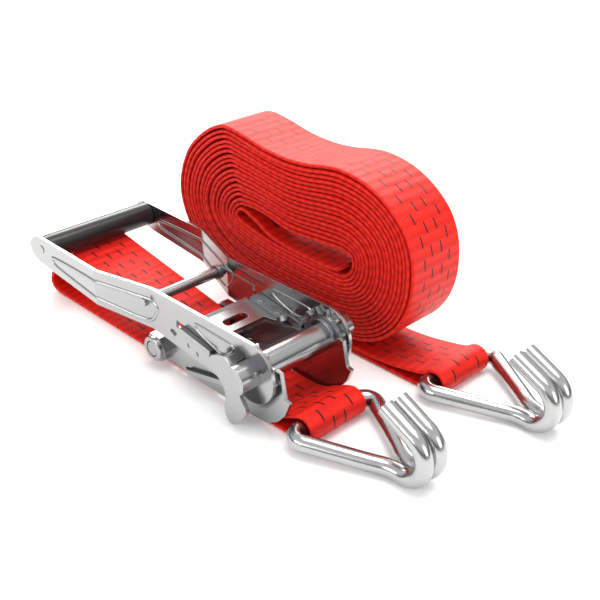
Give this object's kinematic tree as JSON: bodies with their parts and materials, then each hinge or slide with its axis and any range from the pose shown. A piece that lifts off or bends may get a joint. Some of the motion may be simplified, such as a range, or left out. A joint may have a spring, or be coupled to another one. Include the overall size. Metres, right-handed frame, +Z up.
{
  "type": "ratchet tie down",
  "caption": "Cargo tie-down: ratchet buckle with a long lever and black grip, a short webbing tail and a coiled long webbing, each ending in an open wire hook.",
  "frame": {"origin": "on the floor, straight below the middle of the spindle axis", "axes": "+X along the webbing from the grip towards the hooks, +Y across the webbing towards the coiled strap, +Z up from the floor"},
  "size_m": [0.4048, 0.1911, 0.1407],
  "materials": {
    "plated_steel": "bright zinc plate, polished",
    "hook_steel": "bright zinc plate on bent round wire",
    "wheel_steel": "plated, stamped edges",
    "spring_steel": "drawn wire",
    "grip_plastic": "satin black, moulded",
    "webbing": "woven polyester with thin dark marker dashes"
  },
  "bodies": {
    "base": {"base_plate_near": "plated_steel", "base_plate_far": "plated_steel", "base_bolt": "plated_steel", "base_bolt_nut": "plated_steel", "base_bolt_sleeve": "plated_steel", "base_spring_pin": "plated_steel", "base_pawl_spring_near": "spring_steel", "base_pawl_spring_far": "spring_steel", "strap_short": "webbing"},
    "handle": {"handle_plate_near": "plated_steel", "handle_plate_far": "plated_steel", "handle_grip": "grip_plastic", "grip_rod": "plated_steel", "handle_cross_rod": "plated_steel", "handle_pawl_spring_near": "spring_steel", "handle_pawl_spring_far": "spring_steel"},
    "handle_pawl": {"handle_pawl": "plated_steel", "pawl_tab_near": "plated_steel", "pawl_tab_far": "plated_steel", "pawl_rivet_near_rear": "plated_steel", "pawl_rivet_near_front": "plated_steel", "pawl_rivet_far_rear": "plated_steel", "pawl_rivet_far_front": "plated_steel"},
    "base_pawl": {"base_pawl": "plated_steel"},
    "spindle": {"spindle_half_rear": "plated_steel", "spindle_half_front": "plated_steel", "ratchet_wheel_near": "wheel_steel", "ratchet_wheel_far": "wheel_steel", "spindle_wing_near": "plated_steel", "spindle_wing_far": "plated_steel", "spindle_pin_near": "wheel_steel", "spindle_pin_far": "wheel_steel"},
    "hook_short": {"hook_short": "hook_steel"},
    "long_strap": {"strap_long": "webbing"},
    "hook_long": {"hook_long": "hook_steel"}
  },
  "joints": [
    {"name": "handle_hinge", "type": "hinge", "parent": "base", "child": "handle", "pos_m": [0, 0, 0.0415], "axis": [0, 1, 0], "range_deg": [0, 150]},
    {"name": "spindle_spin", "type": "hinge", "parent": "base", "child": "spindle", "pos_m": [0, 0, 0.0415], "axis": [0, 1, 0], "continuous": true},
    {"name": "handle_pawl_slide", "type": "slide", "parent": "handle", "child": "handle_pawl", "axis": [-0.9882, 0, 0.153], "range_m": [-0.003, 0.006], "stiffness_N_per_m": 800, "deforming": ["handle_pawl_spring_near", "handle_pawl_spring_far"]},
    {"name": "base_pawl_slide", "type": "slide", "parent": "base", "child": "base_pawl", "axis": [-0.9744, 0, -0.225], "range_m": [-0.003, 0.003], "stiffness_N_per_m": 800, "deforming": ["base_pawl_spring_near", "base_pawl_spring_far"]},
    {"name": "hook_short_hinge", "type": "hinge", "parent": "base", "child": "hook_short", "pos_m": [0.0354, 0, 0.0102], "axis": [-0.0436, -0.999, 0], "range_deg": [0, 20]},
    {"name": "long_strap_lift", "type": "slide", "parent": "base", "child": "long_strap", "axis": [0, 0, 1], "range_m": [0, 0.05]},
    {"name": "hook_long_hinge", "type": "hinge", "parent": "long_strap", "child": "hook_long", "pos_m": [0.057, 0.1023, 0.0093], "axis": [-0.0698, -0.9976, 0], "range_deg": [0, 40]}
  ]
}
